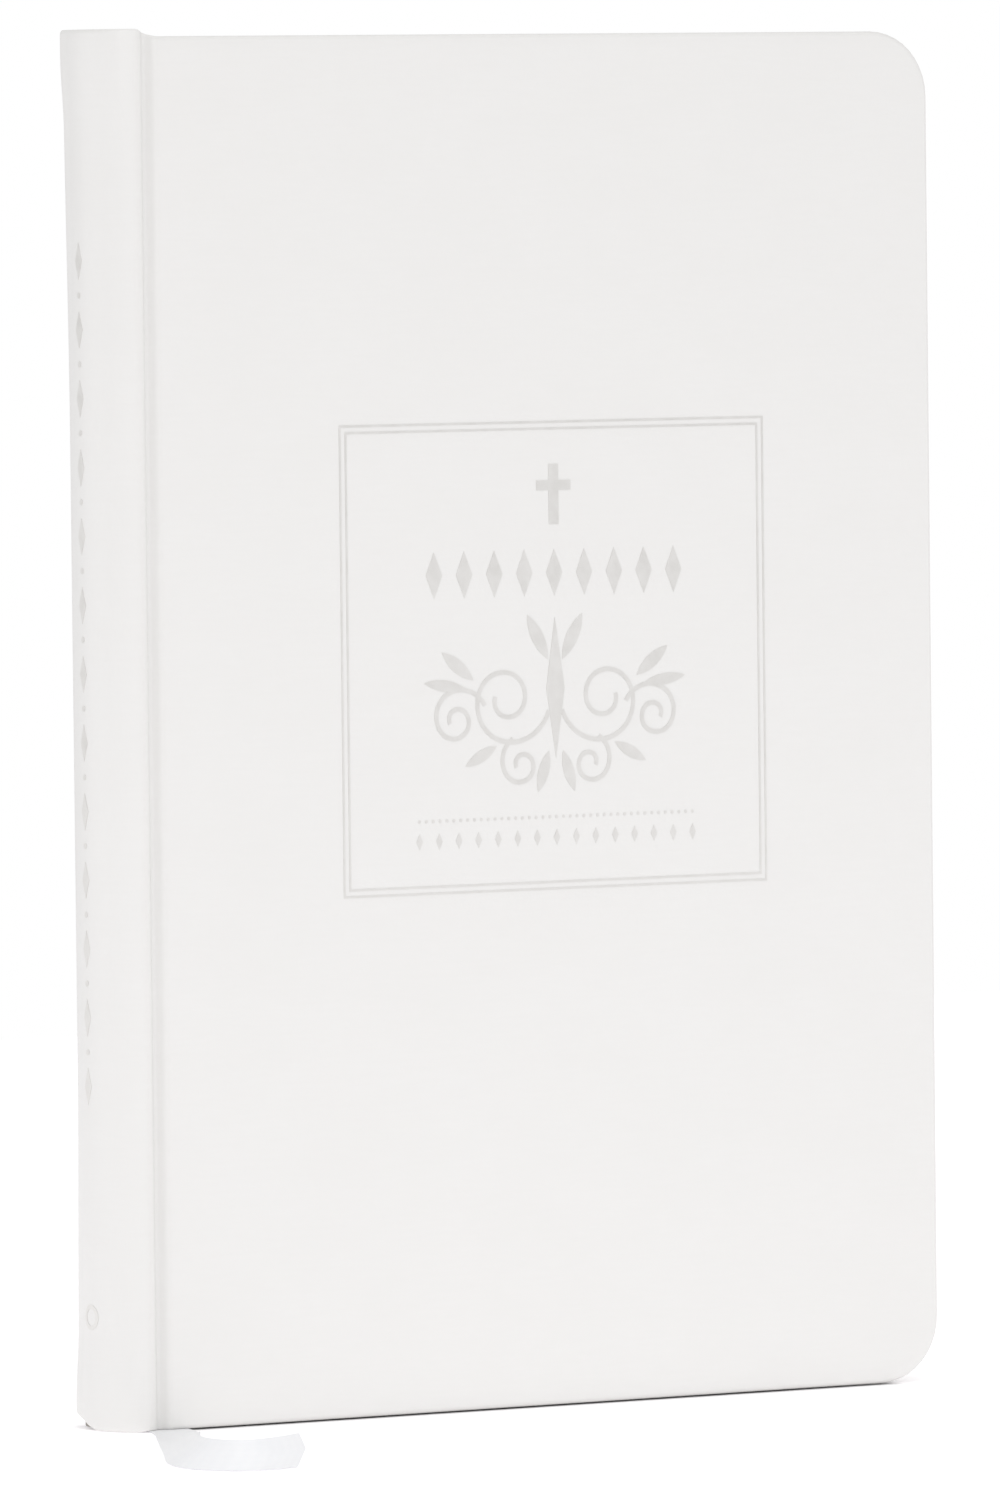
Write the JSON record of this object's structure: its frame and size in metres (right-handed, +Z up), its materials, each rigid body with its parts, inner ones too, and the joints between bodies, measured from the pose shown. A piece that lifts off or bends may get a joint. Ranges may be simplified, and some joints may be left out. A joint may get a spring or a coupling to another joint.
{
  "type": "bible",
  "caption": "Closed case-bound gift book standing upright, white coated cover with a stamped silver panel, rounded corners, rounded spine and a satin ribbon marker.",
  "frame": {"origin": "middle of the bottom of the closed book, on the surface that it stands on", "axes": "+Z up along the height of the book, +X from the spine to the fore-edge, front cover facing -Y"},
  "size_m": [0.1314, 0.0665, 0.1664],
  "materials": {
    "covering": "glossy",
    "board": "matte",
    "foil": "polished",
    "thread": "matte",
    "mull": "matte",
    "lining_paper": "matte",
    "headband": "satin",
    "ribbon": "satin",
    "endpaper": "matte",
    "pages": "matte"
  },
  "bodies": {
    "spine_and_block": {"spine_covering": "covering", "spine_card": "board", "sewing_thread": "thread", "spine_mull": "mull", "spine_lining": "lining_paper", "headband": "headband", "tailband": "headband", "ribbon_marker": "ribbon", "ribbon_tail": "ribbon", "foil_spine": "foil", "signature_06": "pages"},
    "front_cover": {"front_board": "board", "front_covering": "covering", "front_mull_wing": "mull", "front_pastedown": "endpaper", "foil_frame": "foil", "foil_cross": "foil", "foil_lozenges": "foil", "foil_scroll": "foil", "foil_dots": "foil", "foil_small_lozenges": "foil"},
    "back_cover": {"back_board": "board", "back_covering": "covering", "back_mull_wing": "mull", "back_pastedown": "endpaper"},
    "signature_01": {"signature_01": "pages"},
    "signature_02": {"signature_02": "pages"},
    "signature_03": {"signature_03": "pages"},
    "signature_04": {"signature_04": "pages"},
    "signature_05": {"signature_05": "pages"},
    "signature_07": {"signature_07": "pages"},
    "signature_08": {"signature_08": "pages"},
    "signature_09": {"signature_09": "pages"},
    "signature_10": {"signature_10": "pages"},
    "signature_11": {"signature_11": "pages"},
    "front_flyleaf": {"front_flyleaf": "endpaper"},
    "back_flyleaf": {"back_flyleaf": "endpaper"}
  },
  "joints": [
    {"name": "front_cover_hinge", "type": "hinge", "parent": "spine_and_block", "child": "front_cover", "pos_m": [-0.0524, -0.0075, 0.083], "axis": [0, 0, -1], "range_deg": [0, 180]},
    {"name": "back_cover_hinge", "type": "hinge", "parent": "spine_and_block", "child": "back_cover", "pos_m": [-0.0524, 0.0075, 0.083], "axis": [0, 0, 1], "range_deg": [0, 180]},
    {"name": "signature_01_fold", "type": "hinge", "parent": "spine_and_block", "child": "signature_01", "pos_m": [-0.0545, -0.00441, 0.083], "axis": [0, 0, -1], "range_deg": [0, 38]},
    {"name": "signature_02_fold", "type": "hinge", "parent": "spine_and_block", "child": "signature_02", "pos_m": [-0.05468, -0.00355, 0.083], "axis": [0, 0, -1], "range_deg": [0, 30.4]},
    {"name": "signature_03_fold", "type": "hinge", "parent": "spine_and_block", "child": "signature_03", "pos_m": [-0.05482, -0.0027, 0.083], "axis": [0, 0, -1], "range_deg": [0, 22.8]},
    {"name": "signature_04_fold", "type": "hinge", "parent": "spine_and_block", "child": "signature_04", "pos_m": [-0.05491, -0.00184, 0.083], "axis": [0, 0, -1], "range_deg": [0, 15.2]},
    {"name": "signature_05_fold", "type": "hinge", "parent": "spine_and_block", "child": "signature_05", "pos_m": [-0.05498, -0.00098, 0.083], "axis": [0, 0, -1], "range_deg": [0, 7.6]},
    {"name": "signature_07_fold", "type": "hinge", "parent": "spine_and_block", "child": "signature_07", "pos_m": [-0.05498, 0.00098, 0.083], "axis": [0, 0, 1], "range_deg": [0, 7.6]},
    {"name": "signature_08_fold", "type": "hinge", "parent": "spine_and_block", "child": "signature_08", "pos_m": [-0.05491, 0.00184, 0.083], "axis": [0, 0, 1], "range_deg": [0, 15.2]},
    {"name": "signature_09_fold", "type": "hinge", "parent": "spine_and_block", "child": "signature_09", "pos_m": [-0.05482, 0.0027, 0.083], "axis": [0, 0, 1], "range_deg": [0, 22.8]},
    {"name": "signature_10_fold", "type": "hinge", "parent": "spine_and_block", "child": "signature_10", "pos_m": [-0.05468, 0.00355, 0.083], "axis": [0, 0, 1], "range_deg": [0, 30.4]},
    {"name": "signature_11_fold", "type": "hinge", "parent": "spine_and_block", "child": "signature_11", "pos_m": [-0.0545, 0.00441, 0.083], "axis": [0, 0, 1], "range_deg": [0, 38]},
    {"name": "front_flyleaf_fold", "type": "hinge", "parent": "spine_and_block", "child": "front_flyleaf", "pos_m": [-0.0545, -0.00494, 0.083], "axis": [0, 0, -1], "range_deg": [0, 46]},
    {"name": "back_flyleaf_fold", "type": "hinge", "parent": "spine_and_block", "child": "back_flyleaf", "pos_m": [-0.0545, 0.00494, 0.083], "axis": [0, 0, 1], "range_deg": [0, 46]}
  ],
  "couplings": [
    {"joint": "signature_01_fold", "follows": "front_cover_hinge", "ratio": 0.21111},
    {"joint": "signature_02_fold", "follows": "front_cover_hinge", "ratio": 0.16889},
    {"joint": "signature_03_fold", "follows": "front_cover_hinge", "ratio": 0.12667},
    {"joint": "signature_04_fold", "follows": "front_cover_hinge", "ratio": 0.084444},
    {"joint": "signature_05_fold", "follows": "front_cover_hinge", "ratio": 0.042222},
    {"joint": "signature_07_fold", "follows": "back_cover_hinge", "ratio": 0.042222},
    {"joint": "signature_08_fold", "follows": "back_cover_hinge", "ratio": 0.084444},
    {"joint": "signature_09_fold", "follows": "back_cover_hinge", "ratio": 0.12667},
    {"joint": "signature_10_fold", "follows": "back_cover_hinge", "ratio": 0.16889},
    {"joint": "signature_11_fold", "follows": "back_cover_hinge", "ratio": 0.21111},
    {"joint": "front_flyleaf_fold", "follows": "front_cover_hinge", "ratio": 0.25556},
    {"joint": "back_flyleaf_fold", "follows": "back_cover_hinge", "ratio": 0.25556}
  ]
}
